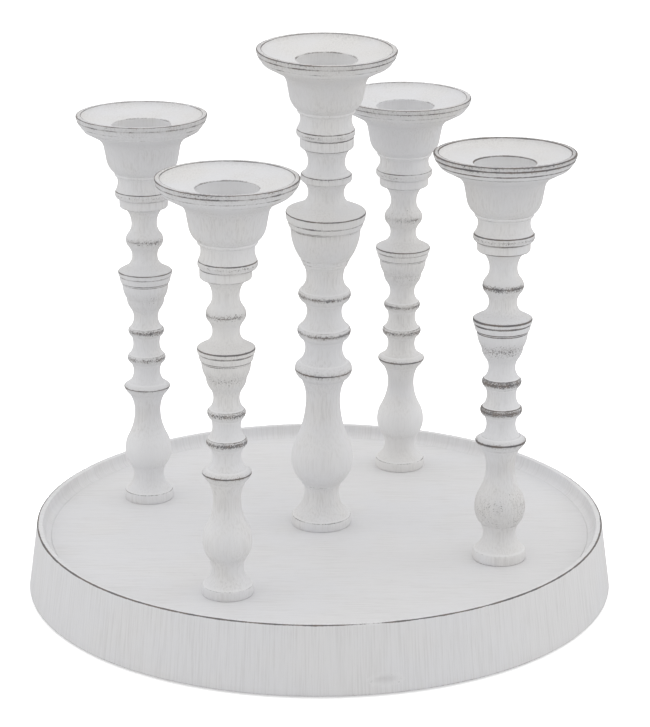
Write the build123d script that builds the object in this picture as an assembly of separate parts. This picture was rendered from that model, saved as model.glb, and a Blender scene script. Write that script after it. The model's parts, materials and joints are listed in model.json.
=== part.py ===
"""Five-light wooden candle holder: five turned sticks standing on a round, raised tray.

Millimetres, +Z up. The origin is the centre of the circle on which the felt pads rest.
The longest of the five sticks is in the middle; the four shorter ones stand on a circle around it.
+X is to the right and -Y is the front.
"""
from build123d import *
import os

# ---- driving dimensions -------------------------------------------------------------------
PAD_HEIGHT = 1.5            # felt pads under the tray
PAD_RADIUS = 6.0
PAD_COUNT = 6
PAD_CIRCLE = 189.5

TRAY_BOTTOM_RADIUS = 200.0  # outside of the tapered hoop, at the bottom
TRAY_TOP_RADIUS = 193.7     # and at the top
TRAY_HEIGHT = 46.2
LIP_WIDTH = 4.1             # flat rim on top of the hoop
FLOOR_DROP = 8.2            # from the rim down to the tray's floor
FLOOR_RADIUS = 184.0        # where the cove inside the hoop meets the floor
FLOOR_THICKNESS = 12.0
LEDGE_RADIUS = 178.0        # inside of the hoop under the floor board
EDGE = 0.8                  # small bevels on the hoop

OUTER_STEM_HEIGHT = 220.0   # foot to the joint under the head
CENTRE_STEM_HEIGHT = 278.5
HEAD_HEIGHT = 58.0
RIM_WIDTH = 3.4             # flat rim of a candle dish
DISH_DEPTH = 7.0            # rim to the mouth of the candle recess
RECESS_RADIUS = 20.1        # takes a tealight
RECESS_DEPTH = 15.0

DOWEL_RADIUS = 4.0
DOWEL_IN_STEM = 13.0
DOWEL_IN_HEAD = 16.0
DOWEL_GAP = 1.0             # free space past each end of a dowel
DOWEL_BEVEL = 0.8

SCREW_RADIUS = 2.0
SCREW_IN_STEM = 26.0
SCREW_POINT = 4.0
SCREW_HEAD_RADIUS = 4.6
SCREW_HEAD_HEIGHT = 2.6
CROSS_SLOT = 1.0
CROSS_LENGTH = 5.0
CROSS_DEPTH = 1.6
SCREW_CLEARANCE = 2.5       # radius of the hole through the floor board
WASHER_RADIUS = 7.0
WASHER_THICKNESS = 1.2

# Each stick: where its foot stands, its lean to +X and to +Y in degrees, the outer radius of its
# dish and how far its head sits off the stem's axis along X. Turned by hand, the stems differ a
# little in girth and in how tall they came out, and the heads in the length of their neck.
STICKS = {
    "front_left": dict(
        foot=(-59.7, -119.7), lean=(0.25, -0.1), dish=45.6, slip=1.3, girth=0.96, tall=1.0, lift=0.3
    ),
    "front_right": dict(
        foot=(120.3, -57.8), lean=(-0.12, 1.0), dish=46.4, slip=0.0, girth=1.01, tall=0.996, lift=0.8
    ),
    "back_left": dict(
        foot=(-120.5, 58.5), lean=(0.0, 0.8), dish=44.8, slip=-0.5, girth=0.965, tall=0.991, lift=0.2
    ),
    "back_right": dict(
        foot=(58.3, 124.5), lean=(0.43, -0.45), dish=46.2, slip=0.0, girth=1.0, tall=0.989, lift=-0.4
    ),
    "centre": dict(
        foot=(1.2, 7.6), lean=(0.8, -2.2), dish=46.4, slip=-0.8, girth=0.985, tall=0.994, lift=0.8
    ),
}

# ---- heights that follow ------------------------------------------------------------------
TRAY_TOP = PAD_HEIGHT + TRAY_HEIGHT
FLOOR_TOP = TRAY_TOP - FLOOR_DROP
FLOOR_UNDERSIDE = FLOOR_TOP - FLOOR_THICKNESS


class Outline:
    """The edge line of a turned piece in the XZ plane: x is the radius and z the height.

    Arcs that leave or arrive are parallel to the turning axis at that end, as in a cove or bead.
    Girth and tall multiply every radius and height that is given.
    """

    def __init__(self, radius, height, girth=1.0, tall=1.0):
        self.girth = girth
        self.tall = tall
        self.first = self.at(radius, height)
        self.point = self.first
        self.heading = Vector(0, 0, 1)
        self.edges = []

    def at(self, radius, height):
        return Vector(radius * self.girth, 0, height * self.tall)

    def follow(self, edge, target):
        self.edges.append(edge)
        self.heading = edge.tangent_at(1)
        self.point = target
        return self

    def line(self, radius, height):
        target = self.at(radius, height)
        return self.follow(Edge.make_line(self.point, target), target)

    def arc_to(self, target, heading):
        return self.follow(Edge.make_tangent_arc(self.point, heading, target), target)

    def arrive_at(self, target):
        chord = (target - self.point).normalized()
        return self.arc_to(target, chord * (2 * chord.Z) - Vector(0, 0, 1))

    def arc(self, radius, height, heading):
        return self.arc_to(self.at(radius, height), heading)

    def leave(self, radius, height):
        return self.arc(radius, height, Vector(0, 0, 1))

    def smooth(self, radius, height):
        return self.arc(radius, height, self.heading)

    def arrive(self, radius, height):
        return self.arrive_at(self.at(radius, height))

    def ogee(self, radius, height, share):
        """Two arcs from one upright tangent to the next, meeting at a share of the way."""
        target = self.at(radius, height)
        self.arc_to(self.point + (target - self.point) * share, Vector(0, 0, 1))
        return self.arrive_at(target)

    def bow(self, radius, height, sagitta):
        """A shallow arc that swells outwards by the sagitta."""
        target = self.at(radius, height)
        chord = target - self.point
        outward = Vector(chord.Z, 0, -chord.X).normalized()
        through = self.point + chord * 0.5 + outward * sagitta
        return self.follow(Edge.make_three_point_arc(self.point, through, target), target)

    def turned(self):
        """The solid of revolution, closed along the turning axis."""
        top = Vector(0, 0, self.point.Z)
        bottom = Vector(0, 0, self.first.Z)
        self.edges.append(Edge.make_line(self.point, top))
        self.edges.append(Edge.make_line(top, bottom))
        self.edges.append(Edge.make_line(bottom, self.first))
        return revolve(Face(Wire(self.edges)), Axis.Z)

    def ring(self):
        """The solid of revolution of an outline that closes on itself."""
        self.edges.append(Edge.make_line(self.point, self.first))
        return revolve(Face(Wire(self.edges)), Axis.Z)


# ---- outlines of the turned pieces --------------------------------------------------------
BELOW_FOOT = 2.0            # extra foot, trimmed off level with the tray's floor
FOOT_TRIM_RADIUS = 30.0


def outer_stem(girth, tall):
    o = Outline(17.3, -BELOW_FOOT, girth, tall)
    o.line(17.3, 0)
    # foot and baluster
    o.bow(17.3, 6.6, 0.45).line(16.7, 7.1).arrive(10.9, 18.0).leave(12.9, 25.4)
    o.line(13.7, 26.2).arrive(16.8, 36.6).ogee(9.35, 65.5, 0.38).leave(12.6, 77.6)
    # big ring
    o.line(13.6, 78.6).bow(16.8, 83.6, 0.35).line(16.6, 84.3).line(13.6, 86.4).line(12.6, 86.8)
    # two middle rings
    o.arrive(9.6, 94.6).leave(11.0, 100.2).line(11.8, 100.9).arrive(13.8, 104.9)
    o.leave(12.9, 107.0).line(12.2, 107.4).arrive(9.6, 114.8).leave(10.5, 119.9)
    o.line(11.2, 120.6).arrive(12.95, 124.6).leave(12.1, 126.6).line(11.4, 127.1)
    # vase with its two bands and shoulder
    o.arrive(8.8, 134.0).ogee(16.6, 158.4, 0.45).line(16.4, 158.9).line(17.6, 159.6)
    o.bow(18.5, 163.6, 0.15).line(18.1, 164.1).line(19.2, 164.7).bow(19.4, 167.6, 0.1)
    o.line(19.1, 168.0).line(13.6, 170.9).arrive(9.15, 178.5)
    # upper bead, cove and collar
    o.ogee(13.5, 190.0, 0.6).ogee(9.15, 201.6, 0.4).leave(12.8, 211.8).line(16.9, 213.6)
    o.line(17.3, 214.2).bow(17.3, OUTER_STEM_HEIGHT - 0.4, 0.1).line(16.9, OUTER_STEM_HEIGHT)
    return o.turned()


def centre_stem(girth, tall):
    o = Outline(20.6, -BELOW_FOOT, girth, tall)
    o.line(20.6, 0)
    # foot and baluster
    o.bow(20.6, 6.9, 0.45).line(19.9, 7.4).arrive(11.9, 24.3).leave(13.0, 29.6)
    o.line(13.8, 30.2).line(13.8, 31.0).line(14.3, 31.9).arrive(21.4, 48.4)
    o.ogee(11.9, 92.5, 0.33).leave(15.3, 107.2)
    # big ring
    o.line(16.3, 108.2).arrive(19.8, 114.6).leave(18.9, 117.8).line(16.4, 119.9)
    # two middle rings
    o.arrive(12.9, 129.3).leave(14.5, 135.7).line(15.4, 136.5).arrive(18.4, 142.3)
    o.leave(17.4, 144.8).line(16.6, 145.4).arrive(12.0, 155.8).leave(14.0, 162.3)
    o.line(14.9, 163.1).arrive(18.1, 168.6).leave(17.2, 171.0).line(16.4, 171.6)
    # two small collars under the vase
    o.arrive(12.7, 180.3).leave(14.4, 188.4).line(15.2, 189.0).bow(15.7, 191.0, 0.15)
    o.line(15.6, 191.4).line(16.4, 191.9).bow(17.1, 194.0, 0.15).line(17.0, 194.4)
    # vase with its two bands and shoulder
    o.line(18.0, 195.0).arrive(23.9, 215.4).line(23.7, 215.8).line(24.9, 216.4)
    o.bow(26.0, 219.8, 0.15).line(25.8, 220.3).line(26.7, 220.9).bow(27.3, 226.3, 0.15)
    o.line(27.0, 226.9).line(19.0, 230.3).arrive(12.2, 239.4)
    # upper ring, cove and collar
    o.leave(15.6, 247.4).line(17.0, 248.2).line(17.4, 248.8).bow(17.4, 252.2, 0.1)
    o.line(17.0, 252.8).line(15.2, 254.0).arrive(12.6, 260.6).leave(15.3, 269.6)
    o.line(17.6, 271.2).line(18.2, 271.9).bow(18.2, CENTRE_STEM_HEIGHT - 0.4, 0.1)
    o.line(17.8, CENTRE_STEM_HEIGHT)
    return o.turned()


def head(dish_radius, lift, girth):
    """Bead, neck, bell-shaped bowl and candle dish, from the joint up; the lift is in the neck."""
    top = HEAD_HEIGHT + lift
    mouth = top - DISH_DEPTH
    o = Outline(18.4 * girth, 0)
    o.line(19.0 * girth, 0.5).arrive(20.0 * girth, 3.0).line(19.6 * girth, 5.2)
    o.arrive(17.2, 11.4 + 0.7 * lift).leave(18.0, 15.3 + lift).line(19.0, 15.9 + lift)
    o.bow(19.4, 17.2 + lift, 0.15).line(19.1, 17.6 + lift).line(19.6, 18.1 + lift)
    o.arc(24.6, 26.6 + lift, Vector(0.78, 0, 0.62)).line(26.2, 35.6 + lift)
    o.smooth(31.5, 43.0 + lift).line(39.6, 47.4 + lift)
    # three stepped bands under the rim
    o.line(dish_radius - 5.4, top - 10.0).bow(dish_radius - 2.8, top - 7.0, 0.25)
    o.line(dish_radius - 2.6, top - 6.6).bow(dish_radius - 0.6, top - 3.2, 0.35)
    o.line(dish_radius - 0.4, top - 2.8).bow(dish_radius, top - 0.4, 0.2)
    o.line(dish_radius - 0.3, top)
    # flat rim, hollowed dish and candle recess
    o.line(dish_radius - RIM_WIDTH, top)
    o.arc(dish_radius - RIM_WIDTH - 4.2, mouth + 3.4, Vector(-0.25, 0, -1))
    o.line(RECESS_RADIUS + 0.5, mouth).line(RECESS_RADIUS, mouth - 0.4)
    o.line(RECESS_RADIUS, mouth - RECESS_DEPTH)
    return o.turned()


def foot_place(stick):
    """The middle of a stick's foot on the tray's floor."""
    x, y = stick["foot"]
    return Vector(x, y, FLOOR_TOP)


def stick_frame(stick):
    """A stick's own frame: its foot on the floor and its axis with the stick's lean."""
    lean_x, lean_y = stick["lean"]
    return Location(foot_place(stick)) * Rotation(-lean_y, lean_x, 0)


def cylinder(radius, bottom, top):
    return Pos(0, 0, bottom) * Cylinder(radius, top - bottom, align=(Align.CENTER, Align.CENTER, Align.MIN))


# ---- the tray -----------------------------------------------------------------------------
def tray_side_hoop():
    """Tapered hoop with a flat rim, a coved inside and a ledge for the floor board."""
    slope = (TRAY_BOTTOM_RADIUS - TRAY_TOP_RADIUS) / TRAY_HEIGHT
    rim_inside = TRAY_TOP_RADIUS - LIP_WIDTH
    o = Outline(LEDGE_RADIUS, PAD_HEIGHT)
    o.line(TRAY_BOTTOM_RADIUS - EDGE, PAD_HEIGHT)
    o.line(TRAY_BOTTOM_RADIUS - EDGE * slope, PAD_HEIGHT + EDGE)
    o.line(TRAY_TOP_RADIUS + EDGE / 2 * slope, TRAY_TOP - EDGE / 2)
    o.line(TRAY_TOP_RADIUS - EDGE / 2, TRAY_TOP)
    o.line(rim_inside, TRAY_TOP).line(rim_inside - 1.3, TRAY_TOP - 4.0)
    o.arc(FLOOR_RADIUS, FLOOR_TOP, Vector(-0.25, 0, -1))
    o.line(FLOOR_RADIUS, FLOOR_UNDERSIDE).line(LEDGE_RADIUS, FLOOR_UNDERSIDE)
    return o.ring()


def tray_floor_board():
    """Round board on the hoop's ledge, with a clearance hole under each stick."""
    board = cylinder(FLOOR_RADIUS, FLOOR_UNDERSIDE, FLOOR_TOP)
    for stick in STICKS.values():
        place = foot_place(stick)
        board -= Pos(place.X, place.Y, 0) * cylinder(SCREW_CLEARANCE, FLOOR_UNDERSIDE, FLOOR_TOP)
    return board


def felt_pads():
    pad = cylinder(PAD_RADIUS, 0, PAD_HEIGHT)
    return [place * pad for place in PolarLocations(PAD_CIRCLE, PAD_COUNT)]


# ---- the sticks ---------------------------------------------------------------------------
def stem_height(name, stick):
    height = CENTRE_STEM_HEIGHT if name == "centre" else OUTER_STEM_HEIGHT
    return height * stick["tall"]


def stem_node(name, stick):
    """A stem, trimmed level at the foot, with a dowel hole on top and a screw hole below."""
    height = stem_height(name, stick)
    outline = centre_stem if name == "centre" else outer_stem
    solid = outline(stick["girth"], stick["tall"])
    solid -= cylinder(DOWEL_RADIUS, height - DOWEL_IN_STEM - DOWEL_GAP, height)
    solid = stick_frame(stick) * solid
    foot = Pos(foot_place(stick))
    solid -= foot * cylinder(FOOT_TRIM_RADIUS, -2 * BELOW_FOOT, 0)
    return solid - foot * screw_shank(SCREW_IN_STEM)


def head_node(name, stick):
    solid = Pos(stick["slip"], 0, 0) * head(stick["dish"], stick["lift"], stick["girth"])
    solid -= cylinder(DOWEL_RADIUS, 0, DOWEL_IN_HEAD + DOWEL_GAP)
    return stick_frame(stick) * Pos(0, 0, stem_height(name, stick)) * solid


def dowel_node(name, stick):
    o = Outline(DOWEL_RADIUS - DOWEL_BEVEL, -DOWEL_IN_STEM)
    o.line(DOWEL_RADIUS, DOWEL_BEVEL - DOWEL_IN_STEM)
    o.line(DOWEL_RADIUS, DOWEL_IN_HEAD - DOWEL_BEVEL)
    o.line(DOWEL_RADIUS - DOWEL_BEVEL, DOWEL_IN_HEAD)
    return stick_frame(stick) * Pos(0, 0, stem_height(name, stick)) * o.turned()


# ---- the fastenings under the tray --------------------------------------------------------
def screw_shank(length):
    """A pointed round shank, standing on the floor's upper side."""
    o = Outline(SCREW_RADIUS, 0)
    o.line(SCREW_RADIUS, length - SCREW_POINT).line(0.3, length)
    return o.turned()


def fixing_screw():
    """Round-headed wood screw with a cross recess; z = 0 is the floor's upper side."""
    seat = -FLOOR_THICKNESS - WASHER_THICKNESS
    o = Outline(0.3 * SCREW_HEAD_RADIUS, seat - SCREW_HEAD_HEIGHT)
    o.arc(SCREW_HEAD_RADIUS, seat - 0.4, Vector(1, 0, 0.12)).line(SCREW_HEAD_RADIUS, seat)
    o.line(SCREW_RADIUS, seat).line(SCREW_RADIUS, SCREW_IN_STEM - SCREW_POINT)
    o.line(0.3, SCREW_IN_STEM)
    screw = o.turned()
    recess = Pos(0, 0, seat - SCREW_HEAD_HEIGHT + CROSS_DEPTH / 2)
    screw -= recess * Box(CROSS_LENGTH, CROSS_SLOT, CROSS_DEPTH)
    return screw - recess * Box(CROSS_SLOT, CROSS_LENGTH, CROSS_DEPTH)


def washer():
    bottom = -FLOOR_THICKNESS - WASHER_THICKNESS
    return cylinder(WASHER_RADIUS, bottom, -FLOOR_THICKNESS) - cylinder(
        SCREW_RADIUS, bottom, -FLOOR_THICKNESS
    )


def under_each_stick(piece):
    return [Pos(foot_place(stick)) * piece for stick in STICKS.values()]


# ---- write one file per node --------------------------------------------------------------
def write(node, shape):
    """Write one node; a list is a group of separate solids."""
    if isinstance(shape, list):
        solids = [solid for piece in shape for solid in piece.solids()]
        shape = Compound(children=solids)
    export_step(shape, f"parts/{node}.step")


os.makedirs("parts", exist_ok=True)
write("tray_side_hoop", tray_side_hoop())
write("tray_floor_board", tray_floor_board())
write("felt_pads", felt_pads())
write("fixing_screws", under_each_stick(fixing_screw()))
write("screw_washers", under_each_stick(washer()))
for name, stick in STICKS.items():
    write(f"stem_{name}", stem_node(name, stick))
    write(f"head_{name}", head_node(name, stick))
    write(f"dowel_{name}", dowel_node(name, stick))
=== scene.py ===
import json
import math

import bpy
import numpy as np
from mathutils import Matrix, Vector, noise


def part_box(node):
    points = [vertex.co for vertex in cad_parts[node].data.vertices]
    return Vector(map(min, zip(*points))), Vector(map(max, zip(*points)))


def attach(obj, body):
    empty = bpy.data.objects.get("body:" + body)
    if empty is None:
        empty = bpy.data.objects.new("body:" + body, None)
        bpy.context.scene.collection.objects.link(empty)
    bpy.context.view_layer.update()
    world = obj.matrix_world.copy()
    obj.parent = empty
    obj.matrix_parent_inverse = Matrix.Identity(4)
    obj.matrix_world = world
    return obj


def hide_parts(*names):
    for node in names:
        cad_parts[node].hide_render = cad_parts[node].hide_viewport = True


# Looks for the five-light wooden candle holder. Outlines are in millimetres, as in the part's source;
# everything built from them is in metres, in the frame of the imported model.

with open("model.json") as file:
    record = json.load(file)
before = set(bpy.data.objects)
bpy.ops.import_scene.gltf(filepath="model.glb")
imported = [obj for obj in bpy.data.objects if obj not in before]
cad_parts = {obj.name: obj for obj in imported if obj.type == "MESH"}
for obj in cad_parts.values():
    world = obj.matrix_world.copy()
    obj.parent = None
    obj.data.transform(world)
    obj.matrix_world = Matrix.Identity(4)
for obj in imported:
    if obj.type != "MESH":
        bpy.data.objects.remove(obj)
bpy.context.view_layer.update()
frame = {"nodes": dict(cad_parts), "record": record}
MM = 0.001
STICKS = ("front_left", "front_right", "back_left", "back_right", "centre")
MOUNTS = {mount["name"]: mount for mount in frame["record"]["mounts"]}
BODY = "root"

TRAY_LOW, TRAY_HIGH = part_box("tray_side_hoop")
BOARD_LOW, BOARD_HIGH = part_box("tray_floor_board")
FLOOR_TOP = BOARD_HIGH.z

# driving dimensions, millimetres, as in the part's source
TRAY_TOP_RADIUS = 193.7
TRAY_EDGE = 0.8
LIP_WIDTH = 4.1
LEDGE_RADIUS = 178.0
OUTER_STEM_HEIGHT = 220.0
CENTRE_STEM_HEIGHT = 278.5
DOWEL_HOLE_DEPTH = 14.0
HEAD_HEIGHT = 58.0
RIM_WIDTH = 3.4
DISH_DEPTH = 7.0
RECESS_RADIUS = 20.1
RECESS_DEPTH = 15.0
RECESS_ABOVE_JOINT = 43.5         # a recess mount's point on a head with no lift
DOWEL_MIDDLE_ABOVE_JOINT = 1.5
FOOT_LEVEL_UNTIL = 0.010          # metres of stem over which a level foot turns square to its axis

# wear on the tray's hoop, and a dent with a painted highlight on its rim and painted shade in its hollow;
# angles run from +X towards +Y, so the front is at -90 degrees
EDGE_WEAR_ENDS = 0.75             # sine of the angle where the worn top edge has faded out
EDGE_WEAR_FADE = 0.5
UNWORN_ANGLE = math.radians(-80.8)
UNWORN_HALF_WIDTH = math.radians(4.5)
UNWORN_SHARE = 0.5
HOOP_SIDE_RADIUS = 0.19           # metres; only the outside of the hoop lies past it
DENT_ANGLE = math.radians(-77.9)
DENT_LENGTH = 23.0
DENT_BREADTH = 8.0
DENT_HEIGHT = 11.0                # above the table
DENT_DEPTH = 0.7
DENT_RIM = 0.3
DENT_RIM_PLACE, DENT_RIM_WIDTH = 0.85, 0.22
DENT_HOLLOW_WIDTH = 0.75

# hand-made unevenness, metres, and how fine its noise is
SWELL_DEPTH, SWELL_SCALE = 0.00007, 35
CHIP_DEPTH, CHIP_SCALE, CHIP_START = 0.0007, 420, 0.12
STILL_RADIUS, STILL_FADE = 0.006, 0.004    # the middle of a piece stays as drawn

# Each stem's girth, as in the part's source, then how worn its stick is, which also sets how strong
# its painted highlights and painted shade are, how wide the rubbed lines are and how streaky its baluster
# is.
GIRTH = {"front_left": 0.96, "front_right": 1.01, "back_left": 0.965, "back_right": 1.0, "centre": 0.985}
WEAR_AND_PAINTED_LIGHT = {"front_left": 0.95, "front_right": 1.3, "back_left": 0.85, "back_right": 0.85, "centre": 0.95}
LINE_WIDTH = {"front_left": 1.15, "front_right": 1.35, "back_left": 1.0, "back_right": 1.0, "centre": 1.1}
STREAKY = {"front_left": 0.5, "front_right": 1.0, "back_left": 0.0, "back_right": 0.0, "centre": 0.3}
# the last two kinds are painted light: a painted highlight and painted shade
KINDS = ("edge", "fleck", "painted_highlight", "painted_shade")


# ---- outlines ---------------------------------------------------------------------------------
class Outline:
    """The edge line of a turned piece as closely spaced points (radius, height), with its wear and
    painted light.

    The heading is kept as in the part's source: arcs that leave or arrive run parallel to the axis
    at that end. A mark says what the finish does at the latest point: "edge" is a thin rubbed line,
    "fleck" a speckled zone, and the last two kinds are a painted highlight, lighter than the paint, and
    painted shade, a faint grey.
    """

    STEP = 0.25

    def __init__(self, radius, height, girth=1.0, tall=1.0):
        self.scale = np.array((girth, tall))
        self.points = [np.array((radius, height)) * self.scale]
        self.heading = np.array((0.0, 1.0))
        self.marks = []

    def line(self, radius, height):
        return self.line_to(np.array((radius, height)) * self.scale)

    def line_to(self, target):
        start = self.points[-1]
        chord = target - start
        length = np.hypot(*chord)
        count = max(1, int(math.ceil(length / self.STEP)))
        self.points += [start + chord * (i + 1) / count for i in range(count)]
        self.heading = chord / length
        return self

    def arc(self, radius, height, heading):
        return self.arc_to(np.array((radius, height)) * self.scale, heading)

    def arc_to(self, target, heading):
        """A circular arc to a point, starting along a heading."""
        start = self.points[-1]
        heading = np.array(heading, float) / np.hypot(*heading)
        side = np.array((-heading[1], heading[0]))
        chord = target - start
        bend = 2 * chord @ side / (chord @ chord)
        if abs(bend) < 1e-9:
            return self.line_to(target)
        turn = 2 * math.atan2(heading[0] * chord[1] - heading[1] * chord[0], heading @ chord)
        count = max(4, int(math.ceil(abs(turn / bend) / self.STEP)))
        middle = start + side / bend
        for i in range(count):
            a = turn * (i + 1) / count
            spoke = start - middle
            turned = (spoke[0] * math.cos(a) - spoke[1] * math.sin(a),
                      spoke[0] * math.sin(a) + spoke[1] * math.cos(a))
            self.points.append(middle + np.array(turned))
        self.heading = np.array((heading[0] * math.cos(turn) - heading[1] * math.sin(turn),
                                 heading[0] * math.sin(turn) + heading[1] * math.cos(turn)))
        return self

    def leave(self, radius, height):
        return self.arc(radius, height, (0, 1))

    def smooth(self, radius, height):
        return self.arc(radius, height, self.heading)

    def arrive(self, radius, height):
        return self.arrive_at(np.array((radius, height)) * self.scale)

    def arrive_at(self, target):
        chord = target - self.points[-1]
        chord /= np.hypot(*chord)
        return self.arc_to(target, chord * (2 * chord[1]) - np.array((0.0, 1.0)))

    def ogee(self, radius, height, share):
        """Two arcs from one upright tangent to the next, meeting at a share of the way."""
        start = self.points[-1]
        target = np.array((radius, height)) * self.scale
        self.arc_to(start + (target - start) * share, (0, 1))
        return self.arrive_at(target)

    def bow(self, radius, height, sagitta):
        """A shallow arc that swells outwards by the sagitta."""
        chord = np.array((radius, height)) * self.scale - self.points[-1]
        half = np.hypot(*chord) / 2
        along = chord / (2 * half)
        outward = np.array((along[1], -along[0]))
        tilt = 2 * math.atan2(sagitta, half)
        return self.arc(radius, height, along * math.cos(tilt) + outward * math.sin(tilt))

    def mark(self, kind, strength, reach):
        self.marks.append((kind, len(self.points) - 1, strength, reach))
        return self

    def edge(self, strength, reach=0.42):
        return self.mark("edge", strength, reach)

    def fleck(self, strength, reach):
        return self.mark("fleck", strength, reach)

    # a painted highlight: a lighter line or zone, as if lit
    def painted_highlight(self, strength, reach=0.7):
        return self.mark("painted_highlight", strength, reach)

    # painted shade: a faint grey where shade falls
    def painted_shade(self, strength, reach):
        return self.mark("painted_shade", strength, reach)

    def worked(self, soften=0.22, coarse=1.1, line_width=1.0):
        """Softened points, thinned where nothing happens, and each kind of wear, painted highlight and
        painted shade along them.
        """
        points = np.array(self.points)
        path = np.r_[0, np.cumsum(np.hypot(*np.diff(points, axis=0).T))]
        steps = max(8, int(path[-1] / self.STEP))
        even = np.linspace(0, path[-1], steps + 1)
        soft = np.stack([np.interp(even, path, points[:, k]) for k in (0, 1)], 1)
        gap = even[1]
        reach = int(3 * soften / gap) + 1
        weights = np.exp(-0.5 * (np.arange(-reach, reach + 1) * gap / soften) ** 2)
        weights /= weights.sum()
        for k in (0, 1):
            padded = np.r_[2 * soft[0, k] - soft[reach:0:-1, k], soft[:, k],
                           2 * soft[-1, k] - soft[-2:-reach - 2:-1, k]]
            soft[:, k] = np.convolve(padded, weights, "valid")
        soft[0], soft[-1] = points[0], points[-1]
        wear_and_painted_light = {}
        close = np.zeros(len(even), bool)
        for kind in KINDS:
            wear_and_painted_light[kind] = np.zeros(len(even))
            for name, index, strength, width in self.marks:
                if name == kind:
                    away = np.abs(even - path[index])
                    width = width * line_width if kind == "edge" else width
                    wear_and_painted_light[kind] = np.maximum(wear_and_painted_light[kind], strength * np.exp(-((away / width) ** 2)))
                    if kind == "edge":
                        close |= away < 1.1
        heading = np.unwrap(np.arctan2(*np.gradient(soft, axis=0).T))
        kept = [0]
        for i in range(1, len(even) - 1):
            far = even[i] - even[kept[-1]] >= coarse - 1e-6
            bent = abs(heading[i] - heading[kept[-1]]) > 0.07
            if far or bent or close[i]:
                kept.append(i)
        kept.append(len(even) - 1)
        return soft[kept], {kind: values[kept] for kind, values in wear_and_painted_light.items()}


def dowel_hole(o, top):
    """The hole for the dowel, down from the top of a stem."""
    bottom = top - DOWEL_HOLE_DEPTH
    return o.line(5.0, top).line(4.6, bottom).line(0, bottom)


def outer_stem(girth, tall, streaky):
    """Foot, baluster, three rings, vase, bead and collar of the four shorter sticks."""
    # the lighter lines at the fillets are painted highlights, the lighter swell of the baluster is
    # painted light, weaker on a streaky one, and the grey on the baluster's waist is painted shade
    o = Outline(0, 27, girth, tall).line(2.6, 23).line(3.0, 0)
    # foot and baluster
    o.line(17.2, 0).edge(0.35).bow(17.3, 6.6, 0.45).edge(0.62 - 0.4 * streaky, 0.45)
    o.line(16.7, 7.1).painted_highlight(0.5)
    o.arrive(10.9, 18.0).leave(12.9, 25.4).edge(0.3).line(13.7, 26.2).arrive(16.8, 36.6)
    # painted light over the baluster's swell, weaker the streakier it is
    o.painted_highlight(0.9 * (1 - streaky), 14).fleck(0.3 * streaky, 18)
    o.ogee(9.35, 65.5, 0.38).painted_shade(0.12, 6).leave(12.6, 77.6).painted_highlight(0.4).line(13.6, 78.6).edge(0.35, 0.35)
    # big ring
    o.bow(16.8, 83.6, 0.35).fleck(0.6, 2.4).edge(1.0, 0.55).line(16.6, 84.3)
    o.line(13.6, 86.4).painted_highlight(0.8, 0.5).line(12.6, 86.8).edge(0.3, 0.3)
    # two middle rings
    o.arrive(9.6, 94.6).leave(11.0, 100.2).painted_highlight(0.8, 0.5).line(11.8, 100.9).edge(0.3, 0.3)
    o.arrive(13.8, 104.9).fleck(0.95, 2.3).edge(0.5, 0.5).leave(12.9, 107.0).edge(0.55, 0.5)
    o.line(12.2, 107.4).painted_highlight(0.9, 0.5)
    o.arrive(9.6, 114.8).leave(10.5, 119.9).painted_highlight(0.8, 0.5).line(11.2, 120.6).edge(0.3, 0.3)
    o.arrive(12.95, 124.6).fleck(0.95, 2.2).edge(0.5, 0.5).leave(12.1, 126.6).edge(0.5, 0.5)
    o.line(11.4, 127.1).painted_highlight(0.9, 0.5)
    # vase with its two bands and shoulder
    o.arrive(8.8, 134.0).ogee(13.6, 148.0, 0.5).fleck(0.42, 6)
    o.arrive(16.6, 158.4).edge(0.6, 0.3).line(16.4, 158.9).line(17.6, 159.6).edge(0.85)
    o.bow(18.5, 163.6, 0.15).edge(0.25, 0.3).line(18.1, 164.1).edge(0.7).line(19.2, 164.7).edge(0.55)
    o.bow(19.4, 167.6, 0.1).fleck(0.45, 1.8).edge(1.0, 0.5).line(19.1, 168.0)
    o.line(13.6, 170.9).fleck(0.18, 4).arrive(9.15, 178.5)
    # upper bead, cove and collar
    o.ogee(13.5, 190.0, 0.6).fleck(0.68, 2.6).edge(0.5, 0.45).ogee(9.15, 201.6, 0.4)
    o.leave(12.8, 211.8).line(16.9, 213.6).edge(0.7).line(17.3, 214.2)
    o.bow(17.3, 219.6, 0.1).line(16.9, OUTER_STEM_HEIGHT).edge(0.9, 0.5)
    return dowel_hole(o, OUTER_STEM_HEIGHT)


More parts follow.
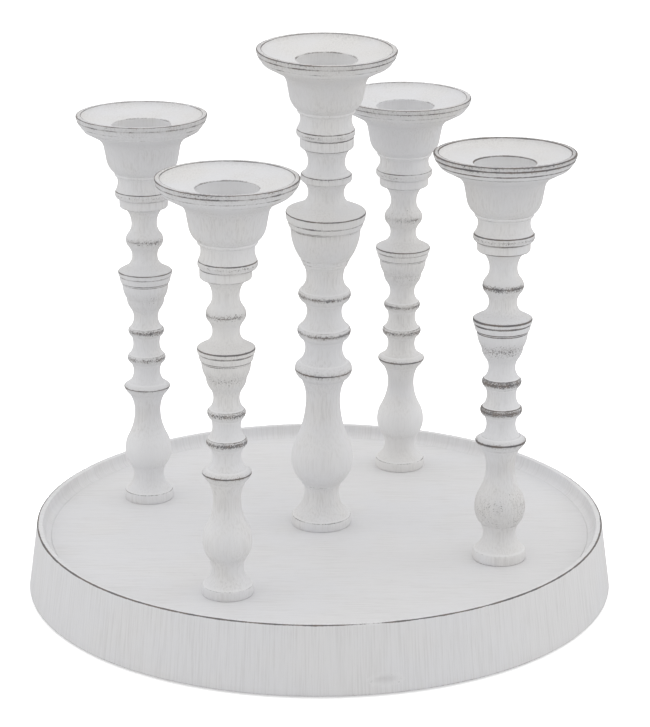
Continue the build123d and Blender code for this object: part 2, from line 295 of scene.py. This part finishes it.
def centre_stem(girth, tall, streaky):
    """Foot, baluster, three rings, vase, ring and collar of the tallest stick."""
    # the lighter lines at the fillets are painted highlights and the lighter swell of the baluster is
    # painted light, weaker on a streaky one
    o = Outline(0, 27, girth, tall).line(2.6, 23).line(3.4, 0)
    # foot and baluster
    o.line(20.5, 0).edge(0.35).bow(20.6, 6.9, 0.45).edge(0.5, 0.45).line(19.9, 7.4).painted_highlight(0.5)
    o.arrive(11.9, 24.3).leave(13.0, 29.6).edge(0.3).line(13.8, 30.2).line(13.8, 31.0).edge(0.35)
    o.line(14.3, 31.9).arrive(21.4, 48.4)
    # painted light over the baluster's swell, weaker the streakier it is
    o.painted_highlight(0.9 * (1 - streaky), 20).fleck(0.3 * streaky, 22).ogee(11.9, 92.5, 0.33)
    o.leave(15.3, 107.2).painted_highlight(0.4).line(16.3, 108.2).edge(0.35, 0.35)
    # big ring
    o.arrive(19.8, 114.6).fleck(0.7, 2.2).edge(0.9, 0.5).leave(18.9, 117.8).edge(0.35)
    o.line(16.4, 119.9).painted_highlight(0.8, 0.5)
    # two middle rings
    o.arrive(12.9, 129.3).leave(14.5, 135.7).painted_highlight(0.8, 0.5).line(15.4, 136.5).edge(0.3, 0.3)
    o.arrive(18.4, 142.3).fleck(0.85, 2.0).edge(0.6, 0.5).leave(17.4, 144.8).edge(0.35)
    o.line(16.6, 145.4).painted_highlight(0.9, 0.5).arrive(12.0, 155.8)
    o.leave(14.0, 162.3).painted_highlight(0.8, 0.5).line(14.9, 163.1).edge(0.3, 0.3)
    o.arrive(18.1, 168.6).fleck(0.85, 2.0).edge(0.55, 0.5).leave(17.2, 171.0).edge(0.35)
    o.line(16.4, 171.6).painted_highlight(0.9, 0.5)
    # two small collars under the vase
    o.arrive(12.7, 180.3).leave(14.4, 188.4).painted_highlight(0.6, 0.5).line(15.2, 189.0).edge(0.3, 0.3)
    o.bow(15.7, 191.0, 0.15).edge(0.3).line(15.6, 191.4).line(16.4, 191.9).painted_highlight(0.5, 0.5)
    o.bow(17.1, 194.0, 0.15).edge(0.35).line(17.0, 194.4).line(18.0, 195.0)
    # vase with its two bands and shoulder
    o.arrive(23.9, 215.4).edge(0.45).fleck(0.3, 1.6).line(23.7, 215.8).line(24.9, 216.4).edge(0.6)
    o.bow(26.0, 219.8, 0.15).edge(0.25, 0.3).line(25.8, 220.3).edge(0.65).line(26.7, 220.9).edge(0.5)
    o.bow(27.3, 226.3, 0.15).fleck(0.25, 1.8).edge(1.0, 0.5).line(27.0, 226.9)
    o.line(19.0, 230.3).arrive(12.2, 239.4)
    # upper ring, cove and collar
    o.leave(15.6, 247.4).painted_highlight(0.4, 0.5).line(17.0, 248.2).edge(0.5).line(17.4, 248.8)
    o.bow(17.4, 252.2, 0.1).fleck(0.4, 1.6).line(17.0, 252.8).edge(0.75)
    o.line(15.2, 254.0).painted_highlight(0.5, 0.5)
    o.arrive(12.6, 260.6).leave(15.3, 269.6).line(17.6, 271.2).edge(0.7).line(18.2, 271.9)
    o.bow(18.2, 278.1, 0.1).line(17.8, CENTRE_STEM_HEIGHT).edge(0.9, 0.5)
    return dowel_hole(o, CENTRE_STEM_HEIGHT)


def head(dish, lift, girth):
    """Bead, neck, bell-shaped bowl and candle dish, from the joint up; the lift is in the neck."""
    top = HEAD_HEIGHT + lift
    mouth = top - DISH_DEPTH
    bottom = mouth - RECESS_DEPTH
    # the lighter lines at the fillets are painted highlights and the recess wall gets painted light; the
    # grey under the bowl and on the top band under the rim is painted shade
    o = Outline(0, 17).line(5.4, 17).line(5.6, 0)
    o.line(18.4 * girth, 0).line(19.0 * girth, 0.5).edge(0.55).arrive(20.0 * girth, 3.0).fleck(0.5, 1.7)
    o.line(19.6 * girth, 5.2).edge(0.85, 0.42)
    o.arrive(17.2, 11.4 + 0.7 * lift).leave(18.0, 15.3 + lift).painted_highlight(0.5, 0.5)
    o.line(19.0, 15.9 + lift).edge(0.3, 0.3).bow(19.4, 17.2 + lift, 0.15)
    o.line(19.1, 17.6 + lift).painted_highlight(0.9, 0.6).line(19.6, 18.1 + lift).edge(0.35, 0.3)
    # painted shade under the bowl
    o.arc(24.6, 26.6 + lift, (0.78, 0.62)).line(26.2, 35.6 + lift).painted_shade(0.14, 14)
    o.smooth(31.5, 43.0 + lift).line(39.6, 47.4 + lift).edge(0.3)
    # three stepped bands under the rim
    o.line(dish - 5.4, top - 10.0).edge(0.4).bow(dish - 2.8, top - 7.0, 0.25).edge(0.5)
    o.line(dish - 2.6, top - 6.6).edge(0.35).bow(dish - 0.6, top - 3.2, 0.35).fleck(0.45, 2.2).edge(0.7)
    # painted shade on the top band under the rim
    o.line(dish - 0.4, top - 2.8).edge(0.5).bow(dish, top - 0.4, 0.2).fleck(0.52, 2.1).painted_shade(0.2, 3)
    o.line(dish - 0.3, top).edge(0.95, 0.55)
    # flat rim, hollowed dish and candle recess
    o.line(dish - 1.7, top).fleck(0.5, 2.0).line(dish - RIM_WIDTH, top).edge(0.85)
    o.arc(dish - RIM_WIDTH - 4.2, top - 3.6, (-0.25, -1)).line(RECESS_RADIUS + 0.5, mouth).edge(0.5, 0.3)
    # painted light on the wall of the recess
    o.line(RECESS_RADIUS, mouth - 0.4).edge(0.6, 0.35).line(RECESS_RADIUS, mouth - 7).painted_highlight(1.0, 4.5)
    o.line(RECESS_RADIUS, bottom + 0.4).line(RECESS_RADIUS - 0.4, bottom)
    return o.line(0, bottom)


def tray_hoop():
    """The tray's side, from the ledge under the floor board round the outside to the board's edge."""
    bottom, top = TRAY_HIGH.x / MM, TRAY_TOP_RADIUS
    low, high, floor = TRAY_LOW.z / MM, TRAY_HIGH.z / MM, FLOOR_TOP / MM
    under = BOARD_LOW.z / MM
    board = BOARD_HIGH.x / MM
    o = Outline(LEDGE_RADIUS, low)
    o.line(bottom - TRAY_EDGE, low).line(bottom, low + TRAY_EDGE).edge(0.35, 0.5).fleck(0.2, 2.5)
    o.line(top, high - TRAY_EDGE / 2).line(top - TRAY_EDGE / 2, high).edge(1.2, 0.75)
    o.line(top - LIP_WIDTH, high).edge(0.35, 0.3).line(top - 5.4, high - 4.0)
    o.arc(board, floor, (-0.25, -1)).line(board, under)
    return o.line(LEDGE_RADIUS, under).line(LEDGE_RADIUS, low)


def angle_from(angle, other):
    """The angle past another one, between half a turn back and half a turn on."""
    return (angle - other + math.pi) % (2 * math.pi) - math.pi


def hoop_detail(radius, angle, height, values):
    """The worn top edge fades at the back and on one stretch in front; the side has one old dent, with a
    painted highlight on its raised rim and painted shade in its hollow.
    """
    front = np.clip((EDGE_WEAR_ENDS - np.sin(angle)) / EDGE_WEAR_FADE, 0, 1)
    past = angle_from(angle, UNWORN_ANGLE) / UNWORN_HALF_WIDTH
    values["edge"] = values["edge"] * front * (1 - UNWORN_SHARE * np.exp(-(past ** 2)))
    along = angle_from(angle, DENT_ANGLE) * radius / (0.5 * DENT_LENGTH * MM)
    up = (height - DENT_HEIGHT * MM) / (0.5 * DENT_BREADTH * MM)
    outside = radius > HOOP_SIDE_RADIUS
    away = np.hypot(along, up)
    ragged = 0.7 + 0.3 * np.sin(angle * 300 + height * 1500)
    rim = np.exp(-(((away - DENT_RIM_PLACE) / DENT_RIM_WIDTH) ** 2)) * outside * ragged
    hollow = np.exp(-((away / DENT_HOLLOW_WIDTH) ** 2)) * outside
    # the dent's raised rim gets a painted highlight and rubbed specks, its hollow painted shade
    values["painted_highlight"] = np.maximum(values["painted_highlight"], rim)
    values["edge"] = np.maximum(values["edge"], 0.38 * rim)
    values["painted_shade"] = np.maximum(values["painted_shade"], 0.25 * hollow)
    radius = radius + DENT_RIM * MM * rim - DENT_DEPTH * MM * hollow
    return radius, height, values


# ---- turning outlines into meshes -------------------------------------------------------------
class Place:
    """Where a turned piece stands: its origin, its axis and the level its foot is cut to."""

    def __init__(self, origin, axis=(0, 0, 1), level_until=0.0):
        self.origin = np.array(origin, float)
        self.axis = np.array(axis, float)
        self.axis /= np.linalg.norm(self.axis)
        self.right = np.cross((0, 1, 0), self.axis)
        self.right /= np.linalg.norm(self.right)
        self.back = np.cross(self.axis, self.right)
        self.level_until = level_until

    def put(self, radius, angle, height):
        """World points for a grid of heights and angles, metres."""
        across = (np.cos(angle)[..., None] * self.right + np.sin(angle)[..., None] * self.back)
        across = across * radius[..., None]
        if self.level_until:
            share = np.clip(height / self.level_until, 0, 1)
            across[..., 2] *= share * share * (3 - 2 * share)
        return self.origin + across + self.axis * height[..., None]


def roughness_of_hand(points, scale, seed):
    """Smooth noise from -1 to 1 at each point; the seed shifts it."""
    shift = Vector((seed * 1.37, seed * 2.11, seed * 0.73))
    flat = points.reshape(-1, 3) * scale
    values = [noise.noise(Vector(p) + shift) for p in flat]
    return np.array(values).reshape(points.shape[:-1])


def lathe(name, outline, place, seed, wear_and_painted_light, line_width=1.0, segments=96, soften=0.22, coarse=1.1,
          detail=None):
    """A turned piece as a mesh with its wear, painted highlights and painted shade kept as point values
    on it.
    """
    profile, marks = outline.worked(soften, coarse, line_width)
    closed = np.allclose(profile[0], profile[-1])
    if closed:
        profile = profile[:-1]
        marks = {kind: values[:-1] for kind, values in marks.items()}
    rows = len(profile)
    angle = np.arange(segments) * (2 * math.pi / segments)
    radius = np.repeat(profile[:, :1] * MM, segments, 1)
    height = np.repeat(profile[:, 1:] * MM, segments, 1)
    angles = np.repeat(angle[None], rows, 0)
    rest = place.put(radius, angles, height)
    uneven = roughness_of_hand(rest, SWELL_SCALE, seed)
    chips = np.clip(roughness_of_hand(rest, CHIP_SCALE, seed + 5) - CHIP_START, 0, 1)
    worn = np.repeat((marks["edge"] + 0.6 * marks["fleck"])[:, None], segments, 1)
    solid = np.clip((radius - STILL_RADIUS) / STILL_FADE, 0, 1)
    radius = radius + solid * (SWELL_DEPTH * uneven - CHIP_DEPTH * worn * wear_and_painted_light * chips)
    # the rubbed and flecked marks and the painted highlights and painted shade all scale with this one
    # number
    values = {kind: np.repeat(v[:, None], segments, 1) * wear_and_painted_light for kind, v in marks.items()}
    if detail:
        radius, height, values = detail(radius, angles, height, values)
    points = place.put(radius, angles, height)
    verts, faces, grid = [], [], np.zeros((rows, segments), int)
    flat_values = {kind: [] for kind in values}
    for i in range(rows):
        count = 1 if profile[i, 0] < 1e-6 else segments
        grid[i] = len(verts) + (np.arange(segments) if count > 1 else 0)
        verts += [tuple(p) for p in points[i, :count]]
        for kind in values:
            flat_values[kind] += list(values[kind][i, :count])
    last = rows if closed else rows - 1
    for i in range(last):
        lower, upper = grid[i], grid[(i + 1) % rows]
        ahead_lower, ahead_upper = np.roll(lower, -1), np.roll(upper, -1)
        for j in range(segments):
            corners = [lower[j], ahead_lower[j], ahead_upper[j], upper[j]]
            ring = [int(c) for k, c in enumerate(corners) if c != corners[k - 1]]
            faces.append(ring)
    mesh = bpy.data.meshes.new(name)
    mesh.from_pydata(verts, [], faces)
    for kind, numbers in flat_values.items():
        layer = mesh.attributes.new(kind, "FLOAT", "POINT")
        layer.data.foreach_set("value", np.array(numbers, np.float32))
    mesh.shade_smooth()
    mesh.validate()
    piece = bpy.data.objects.new(name, mesh)
    bpy.context.scene.collection.objects.link(piece)
    return piece


# ---- node helpers -----------------------------------------------------------------------------
class Finish:
    """A material with a principled shader, and short calls for the nodes that feed it."""

    def __init__(self, name, roughness=0.6):
        self.material = bpy.data.materials.new(name)
        self.material.use_nodes = True
        self.tree = self.material.node_tree
        self.shader = self.tree.nodes["Principled BSDF"]
        self.shader.inputs["Roughness"].default_value = roughness
        self.place = self.node("ShaderNodeTexCoord").outputs["Object"]

    def node(self, kind, **settings):
        made = self.tree.nodes.new(kind)
        for key, value in settings.items():
            setattr(made, key, value)
        return made

    def feed(self, socket, value):
        if isinstance(value, bpy.types.NodeSocket):
            self.tree.links.new(value, socket)
        elif isinstance(value, tuple) and len(value) == 3 and socket.type == "RGBA":
            socket.default_value = (*value, 1)
        else:
            socket.default_value = value

    def attribute(self, name):
        return self.node("ShaderNodeAttribute", attribute_name=name).outputs["Fac"]

    def stretched(self, x=1.0, y=1.0, z=1.0):
        """The place on the piece, stretched, so that noise read there makes streaks."""
        mapping = self.node("ShaderNodeMapping")
        self.feed(mapping.inputs["Vector"], self.place)
        mapping.inputs["Scale"].default_value = (x, y, z)
        return mapping.outputs["Vector"]

    def upright(self, radius, share):
        """The place on a wide hoop, so that noise read there makes streaks straight up its side."""
        flat = self.node("ShaderNodeVectorMath", operation="NORMALIZE")
        self.feed(flat.inputs[0], self.stretched(1, 1, 0))
        round_it = self.node("ShaderNodeVectorMath", operation="SCALE")
        self.feed(round_it.inputs[0], flat.outputs["Vector"])
        self.feed(round_it.inputs["Scale"], radius)
        both = self.node("ShaderNodeVectorMath", operation="ADD")
        self.feed(both.inputs[0], round_it.outputs["Vector"])
        self.feed(both.inputs[1], self.stretched(0, 0, share))
        return both.outputs["Vector"]

    def noise(self, scale, detail=3.0, vector=None, rough=0.55, distortion=0.0):
        made = self.node("ShaderNodeTexNoise")
        self.feed(made.inputs["Vector"], vector or self.place)
        made.inputs["Scale"].default_value = scale
        made.inputs["Detail"].default_value = detail
        made.inputs["Roughness"].default_value = rough
        made.inputs["Distortion"].default_value = distortion
        return made.outputs["Fac"]

    def ramp(self, value, low, high, to_low=0.0, to_high=1.0):
        made = self.node("ShaderNodeMapRange", interpolation_type="SMOOTHSTEP")
        for key, number in (("Value", value), ("From Min", low), ("From Max", high),
                            ("To Min", to_low), ("To Max", to_high)):
            self.feed(made.inputs[key], number)
        return made.outputs["Result"]

    def math(self, operation, a, b):
        made = self.node("ShaderNodeMath", operation=operation)
        for socket, value in zip(made.inputs, (a, b)):
            self.feed(socket, value)
        return made.outputs["Value"]

    def add(self, a, b):
        return self.math("ADD", a, b)

    def times(self, a, b):
        return self.math("MULTIPLY", a, b)

    def mix(self, share, a, b):
        made = self.node("ShaderNodeMix", data_type="RGBA")
        self.feed(made.inputs["Factor"], share)
        colours = [s for s in made.inputs if s.type == "RGBA"]
        self.feed(colours[0], a)
        self.feed(colours[1], b)
        return [s for s in made.outputs if s.type == "RGBA"][0]

    def bump(self, height, strength, distance, normal=None):
        made = self.node("ShaderNodeBump")
        made.inputs["Strength"].default_value = strength
        made.inputs["Distance"].default_value = distance
        self.feed(made.inputs["Height"], height)
        if normal:
            self.feed(made.inputs["Normal"], normal)
        return made.outputs["Normal"]

    def done(self, colour, rough, normal):
        self.feed(self.shader.inputs["Base Color"], colour)
        self.feed(self.shader.inputs["Roughness"], rough)
        self.feed(self.shader.inputs["Normal"], normal)
        return self.material


PAINT_COOL = (0.722, 0.722, 0.736)
PAINT_WARM = (0.728, 0.718, 0.708)
# the lighter white below is a painted highlight, mixed in on fillets, rims, the recess wall and the
# balusters
PAINTED_HIGHLIGHT_WHITE = (0.800, 0.800, 0.805)
# the grey below darkens the grain streaks and worn flecks, and is also painted shade in hollows and under
# the bowls
GRIME_AND_PAINTED_SHADE = (0.400, 0.385, 0.375)
WOOD_GREY = (0.088, 0.084, 0.088)
WOOD_BROWN = (0.125, 0.100, 0.085)


def whitewash(name, grain, streaks, specks, even=0.3, warmth=1.0, hoop_radius=None):
    """Matt limed paint over wood: grain is how the noise is stretched, so streaks follow the wood.

    Streaks and specks say how strong each is, even how uniform the streaks are, warmth how far the
    colour drifts. A hoop radius makes the streaks run straight up the side of a hoop.
    """
    f = Finish(name)
    along = f.upright(hoop_radius, grain[2]) if hoop_radius else f.stretched(*grain)
    broad = f.noise(9, 2)
    blotch = f.noise(38, 3)
    brushed = f.noise(950, 4, along, 0.62)
    fine = f.noise(2600, 2, along)
    dots = f.noise(900, 2)
    tint = f.ramp(f.add(f.times(broad, 0.6), f.times(blotch, 0.4)), 0.40, 0.60, 0.0, warmth)
    colour = f.mix(tint, PAINT_COOL, PAINT_WARM)
    shade = f.times(f.ramp(brushed, 0.42, 0.70), f.ramp(blotch, 0.35, 0.65, even, 1.0))
    stroke = f.add(streaks, f.times(f.attribute("fleck"), 0.35))
    colour = f.mix(f.times(shade, stroke), colour, GRIME_AND_PAINTED_SHADE)
    colour = f.mix(f.times(f.ramp(fine, 0.58, 0.75), 0.16), colour, GRIME_AND_PAINTED_SHADE)
    # painted highlight on fillets, rims, the recess wall and the balusters, and painted shade in hollows,
    # on the baluster's waist and under the bowls
    colour = f.mix(f.times(f.attribute("painted_highlight"), 0.8), colour, PAINTED_HIGHLIGHT_WHITE)
    fleck = f.attribute("fleck")
    colour = f.mix(f.times(f.math("MINIMUM", fleck, 1.0), 0.34), colour, GRIME_AND_PAINTED_SHADE)
    colour = f.mix(f.attribute("painted_shade"), colour, GRIME_AND_PAINTED_SHADE)
    # rubbed through: broken lines on the edges, speckles on the crests
    patches = f.noise(70, 3)
    edge = f.attribute("edge")
    rubbed = f.add(f.times(patches, 0.95), f.times(dots, 0.55))
    edge_worn = f.ramp(f.add(edge, rubbed), 1.02, 1.45)
    edge_worn = f.times(edge_worn, f.ramp(edge, 0.10, 0.35))
    speckle = f.add(f.times(f.noise(1250, 2), 1.3), f.times(patches, 0.5))
    fleck_worn = f.ramp(f.add(speckle, f.times(f.math("MINIMUM", fleck, 0.9), 0.55)), 1.22, 1.44)
    fleck_worn = f.times(fleck_worn, f.ramp(fleck, 0.04, 0.30))
    pores = f.noise(650, 1, f.stretched(*(1 - (1 - g) * 0.6 for g in grain)))
    pore = f.times(f.ramp(pores, 0.775, 0.815), f.times(f.ramp(blotch, 0.50, 0.66), specks))
    bare = f.math("MAXIMUM", f.times(edge_worn, 0.92), f.math("MAXIMUM", f.times(fleck_worn, 0.85), pore))
    wood = f.mix(f.ramp(f.noise(160, 2), 0.4, 0.6), WOOD_GREY, WOOD_BROWN)
    colour = f.mix(bare, colour, wood)
    rough = f.add(f.ramp(brushed, 0.3, 0.7, 0.56, 0.70), f.times(bare, 0.12))
    lumps = f.bump(f.add(f.times(brushed, 0.6), f.times(fine, 0.4)), 0.35, 0.00025)
    normal = f.bump(f.times(bare, -1.0), 0.5, 0.0002, lumps)
    return f.done(colour, rough, normal)


def bare_wood():
    """Planed hardwood of the dowels, with grain along them."""
    f = Finish("bare_wood")
    along = f.stretched(1, 1, 0.06)
    rings = f.noise(500, 4, along, 0.6, 0.4)
    colour = f.mix(f.ramp(rings, 0.35, 0.68), (0.50, 0.33, 0.19), (0.33, 0.19, 0.10))
    colour = f.mix(f.times(f.ramp(f.noise(90, 2), 0.45, 0.7), 0.3), colour, (0.58, 0.43, 0.28))
    rough = f.ramp(rings, 0.3, 0.7, 0.50, 0.68)
    return f.done(colour, rough, f.bump(rings, 0.4, 0.0002))


def zinc_steel():
    """Bright zinc on the screws and washers, a little brushed and dulled."""
    f = Finish("zinc_steel")
    f.shader.inputs["Metallic"].default_value = 1.0
    brushed = f.noise(1400, 3, f.stretched(1, 0.08, 1))
    dull = f.noise(160, 3)
    colour = f.mix(f.ramp(dull, 0.4, 0.65), (0.62, 0.62, 0.60), (0.46, 0.45, 0.42))
    rough = f.add(f.ramp(brushed, 0.35, 0.65, 0.22, 0.34), f.times(f.ramp(dull, 0.4, 0.7), 0.14))
    return f.done(colour, rough, f.bump(brushed, 0.3, 0.00005))


def felt():
    """Pressed wool of the pads, with a matted, flecked face."""
    f = Finish("felt", 0.95)
    fibres = f.noise(1800, 4, None, 0.65, 1.2)
    tufts = f.noise(420, 2)
    colour = f.mix(f.ramp(fibres, 0.38, 0.66), (0.055, 0.047, 0.040), (0.125, 0.108, 0.092))
    colour = f.mix(f.times(f.ramp(tufts, 0.5, 0.7), 0.4), colour, (0.16, 0.14, 0.12))
    rough = f.ramp(fibres, 0.3, 0.7, 0.88, 1.0)
    return f.done(colour, rough, f.bump(f.add(fibres, tufts), 0.8, 0.0004))


def paper_floor():
    """Plain pale studio floor. It shows brighter than the light it throws back, so shadows stay faint."""
    f = Finish("studio_floor")
    seen = f.node("ShaderNodeLightPath").outputs["Is Camera Ray"]
    f.feed(f.shader.inputs["Base Color"], f.mix(seen, (0.72, 0.72, 0.72), (1.0, 1.0, 1.0)))
    f.shader.inputs["Roughness"].default_value = 0.9
    f.shader.inputs["Emission Color"].default_value = (1, 1, 1, 1)
    f.feed(f.shader.inputs["Emission Strength"], f.times(seen, 0.5))
    return f.material


# ---- the pieces -------------------------------------------------------------------------------
def stand_for(piece, node, material):
    """A visual piece in place of its CAD node."""
    piece.data.materials.append(material)
    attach(piece, BODY)
    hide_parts(node)


def middle(node):
    low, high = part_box(node)
    return np.array((low + high) / 2)


def build_stick(name, seed, material):
    """One stick: its stem from the tray's floor to the joint, and its head above it."""
    mount = MOUNTS[f"tealight_recess_{name}"]
    axis = np.array(mount["axis"], float)
    axis /= np.linalg.norm(axis)
    joint = middle(f"dowel_{name}") - axis * DOWEL_MIDDLE_ABOVE_JOINT * MM
    height = (joint[2] - FLOOR_TOP) / axis[2]
    plain = CENTRE_STEM_HEIGHT if name == "centre" else OUTER_STEM_HEIGHT
    stem_outline = centre_stem if name == "centre" else outer_stem
    outline = stem_outline(GIRTH[name], height / MM / plain, STREAKY[name])
    foot = joint - axis * height
    stem = lathe(f"turned_stem_{name}", outline, Place(foot, axis, FOOT_LEVEL_UNTIL), seed, WEAR_AND_PAINTED_LIGHT[name],
                 LINE_WIDTH[name])
    stand_for(stem, f"stem_{name}", material)
    recess = np.array(mount["pos_m"])
    above = (recess - joint) @ axis
    lift = above / MM - RECESS_ABOVE_JOINT
    under_head = recess - axis * above
    low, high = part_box(f"head_{name}")
    dish = (high.x - low.x) / 2 / MM
    outline = head(dish, lift, GIRTH[name])
    top = lathe(f"turned_head_{name}", outline, Place(under_head, axis), seed + 40, WEAR_AND_PAINTED_LIGHT[name],
                LINE_WIDTH[name], 112)
    stand_for(top, f"head_{name}", material)


def build_hoop(material):
    piece = lathe("turned_tray_hoop", tray_hoop(), Place((0, 0, 0)), 90, 0.9, segments=768, soften=0.3,
                  coarse=1.6, detail=hoop_detail)
    stand_for(piece, "tray_side_hoop", material)


def paint_node(node, material):
    """A CAD node that stays, with its finish."""
    mesh = frame["nodes"][node].data
    mesh.materials.clear()
    mesh.materials.append(material)


# ---- studio -----------------------------------------------------------------------------------
WORLD_LEVEL = 0.85


def studio_floor():
    side = 7.0
    mesh = bpy.data.meshes.new("studio_floor")
    corners = [(-side, -side, 0), (side, -side, 0), (side, side, 0), (-side, side, 0)]
    mesh.from_pydata(corners, [], [(0, 1, 2, 3)])
    piece = bpy.data.objects.new("studio_floor", mesh)
    bpy.context.scene.collection.objects.link(piece)
    mesh.materials.append(paper_floor())


def soft_light(name, place, target, size, watts):
    """A large square lamp that faces a point."""
    lamp = bpy.data.lights.new(name, "AREA")
    lamp.shape = "SQUARE"
    lamp.size = size
    lamp.energy = watts
    piece = bpy.data.objects.new(name, lamp)
    piece.location = place
    piece.rotation_euler = (Vector(target) - Vector(place)).to_track_quat("-Z", "Y").to_euler()
    bpy.context.scene.collection.objects.link(piece)


def studio_world():
    """Soft light from all round: strongest from the sides, a little weaker from above and behind."""
    world = bpy.data.worlds.new("studio")
    world.use_nodes = True
    tree = world.node_tree
    background = tree.nodes["Background"]
    place = tree.nodes.new("ShaderNodeTexCoord")
    parts = tree.nodes.new("ShaderNodeSeparateXYZ")
    tree.links.new(place.outputs["Generated"], parts.inputs[0])
    background.inputs["Color"].default_value = (1, 1, 1, 1)
    level = background.inputs["Strength"]
    sideways = tree.nodes.new("ShaderNodeMath")
    sideways.operation = "ABSOLUTE"
    tree.links.new(parts.outputs["X"], sideways.inputs[0])
    previous = None
    shares = ((sideways.outputs[0], 0.13), (parts.outputs["Y"], -0.04), (parts.outputs["Z"], -0.04))
    for part, share in shares:
        step = tree.nodes.new("ShaderNodeMath")
        step.operation = "MULTIPLY_ADD"
        tree.links.new(part, step.inputs[0])
        step.inputs[1].default_value = share
        step.inputs[2].default_value = WORLD_LEVEL
        if previous:
            tree.links.new(previous, step.inputs[2])
        previous = step.outputs[0]
    tree.links.new(previous, level)
    bpy.context.scene.world = world


def studio():
    studio_floor()
    studio_world()
    aim = (0, 0, 0.15)
    soft_light("overhead", (0.0, 0.8, 7.0), aim, 5.0, 66)
    soft_light("left", (-5.0, 0.6, 2.2), aim, 3.0, 20)
    soft_light("right", (5.0, 0.6, 2.2), aim, 3.0, 28)
    bpy.context.scene.view_settings.view_transform = "Standard"
    bpy.context.scene.view_settings.look = "None"


def camera():
    """The view: a long lens, level, from in front and above."""
    distance, height = 1.8876, 0.7679
    downwards, rightwards = math.radians(17.924), math.radians(0.116)
    data = bpy.data.cameras.new("camera")
    data.sensor_width = 36.0
    data.lens = 145.1
    data.clip_start = 0.1
    data.clip_end = 50.0
    piece = bpy.data.objects.new("camera", data)
    piece.location = (0, -distance, height)
    piece.rotation_euler = (math.pi / 2 - downwards, 0, -rightwards)
    bpy.context.scene.collection.objects.link(piece)
    bpy.context.scene.camera = piece


turned = whitewash("whitewashed_turning", (1, 1, 0.06), streaks=0.30, specks=0.7)
hooped = whitewash("whitewashed_hoop", (1, 1, 0.03), streaks=0.20, specks=0.5, even=0.8, warmth=0.4,
                   hoop_radius=TRAY_HIGH.x)
boarded = whitewash("whitewashed_board", (0.05, 1, 1), streaks=0.16, specks=0.2, warmth=0.4)
wooden = bare_wood()
for number, stick in enumerate(STICKS):
    build_stick(stick, number * 7, turned)
    paint_node(f"dowel_{stick}", wooden)
build_hoop(hooped)
paint_node("tray_floor_board", boarded)
paint_node("felt_pads", felt())
steel = zinc_steel()
paint_node("fixing_screws", steel)
paint_node("screw_washers", steel)
studio()
camera()
